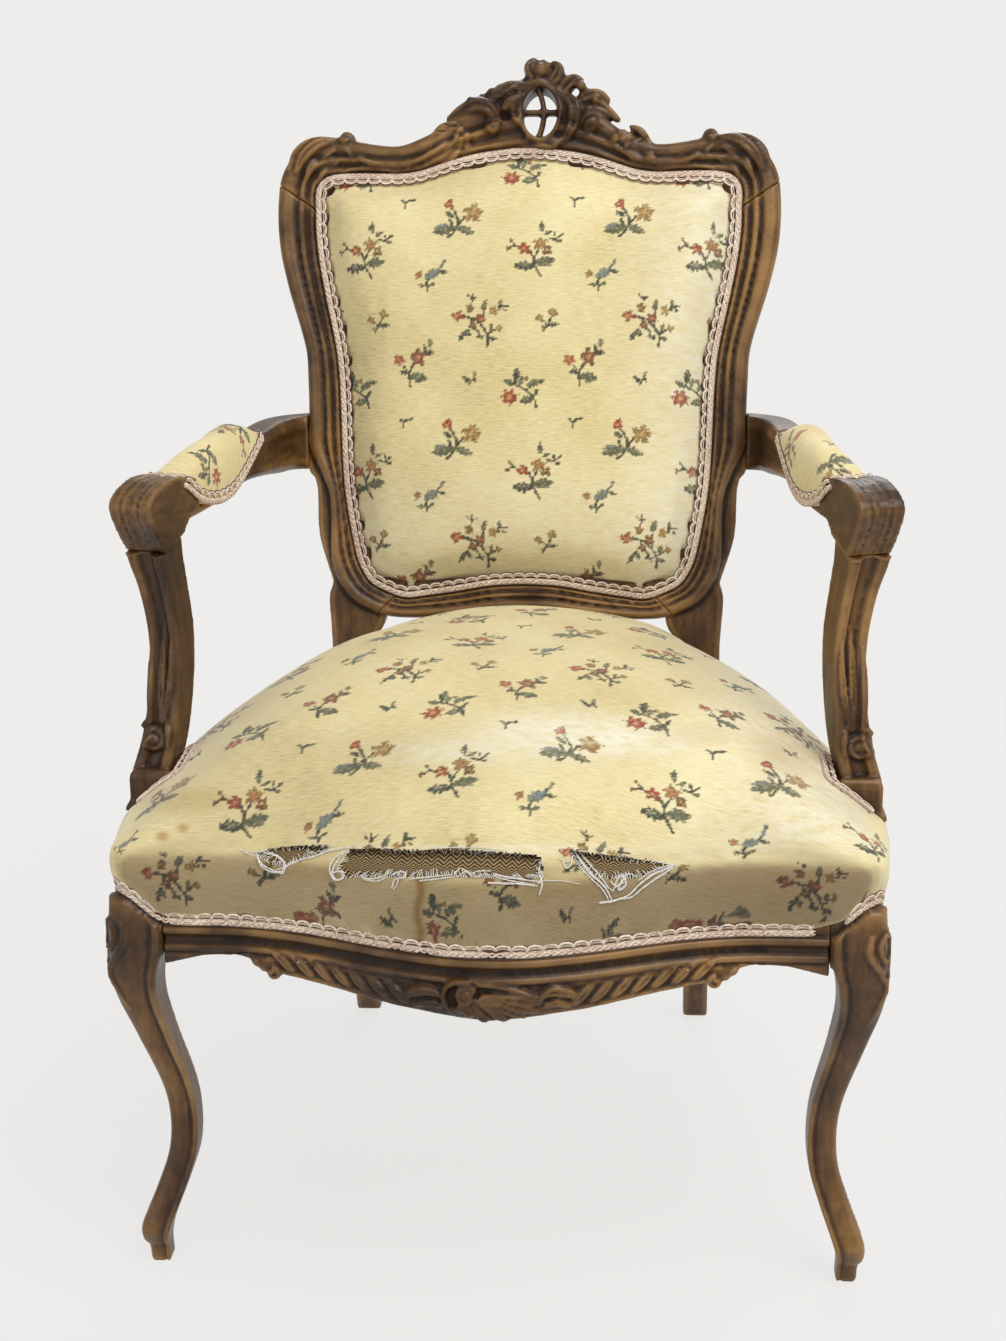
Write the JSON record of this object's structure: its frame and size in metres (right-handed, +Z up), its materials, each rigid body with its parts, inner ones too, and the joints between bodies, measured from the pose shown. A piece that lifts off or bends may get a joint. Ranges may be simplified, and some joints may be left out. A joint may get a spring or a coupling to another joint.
{
  "type": "upholstered armchair",
  "caption": "Open armchair with carved scrolling walnut frame, cabriole front legs, sprung upholstered seat, padded arms and upholstered back.",
  "frame": {"origin": "middle of the bounding box in plan, on the floor under the feet", "axes": "+Z up, +Y to the back of the chair, +X to the viewer's right from the front; left and right in the names are the viewer's"},
  "size_m": [0.6462, 0.6642, 0.988],
  "materials": {
    "walnut": "satin, waxed, dark in the recesses",
    "beech": "plain sawn, unpolished",
    "screw_steel": "dull",
    "spring_steel": "dull, oxidised",
    "jute": "coarse webbing",
    "canvas": "coarse plain weave",
    "horsehair": "matted hair",
    "herringbone": "worn brown herringbone twill",
    "floral_fabric": "ribbed cotton with scattered sprigs",
    "gimp": "looped braid"
  },
  "bodies": {
    "root": {"front_seat_rail": "walnut", "rear_seat_rail": "beech", "right_side_seat_rail": "walnut", "left_side_seat_rail": "walnut", "right_front_leg": "walnut", "left_front_leg": "walnut", "right_rear_stile": "walnut", "left_rear_stile": "walnut", "crest_rail": "walnut", "lower_back_rail": "walnut", "right_arm": "walnut", "left_arm": "walnut", "right_arm_support": "walnut", "left_arm_support": "walnut", "right_front_corner_block": "beech", "left_front_corner_block": "beech", "right_rear_corner_block": "beech", "left_rear_corner_block": "beech", "right_front_block_screw": "screw_steel", "left_front_block_screw": "screw_steel", "right_rear_block_screw": "screw_steel", "left_rear_block_screw": "screw_steel", "lengthwise_strap_1": "jute", "lengthwise_strap_2": "jute", "lengthwise_strap_3": "jute", "crosswise_strap_1": "jute", "crosswise_strap_2": "jute", "crosswise_strap_3": "jute", "spring_canvas": "canvas", "seat_stuffing": "horsehair", "seat_under_cover": "herringbone", "seat_cover": "floral_fabric", "seat_gimp": "gimp", "back_webbing": "jute", "back_pad": "horsehair", "back_cover": "floral_fabric", "back_gimp": "gimp", "outer_back_cover": "floral_fabric", "rear_gimp": "gimp", "right_arm_pad": "floral_fabric", "left_arm_pad": "floral_fabric", "right_arm_gimp": "gimp", "left_arm_gimp": "gimp", "seat_spring_1": "spring_steel", "seat_spring_2": "spring_steel", "seat_spring_3": "spring_steel", "seat_spring_4": "spring_steel", "seat_spring_5": "spring_steel", "seat_spring_6": "spring_steel", "seat_spring_7": "spring_steel", "seat_spring_8": "spring_steel", "seat_spring_9": "spring_steel"}
  },
  "joints": []
}
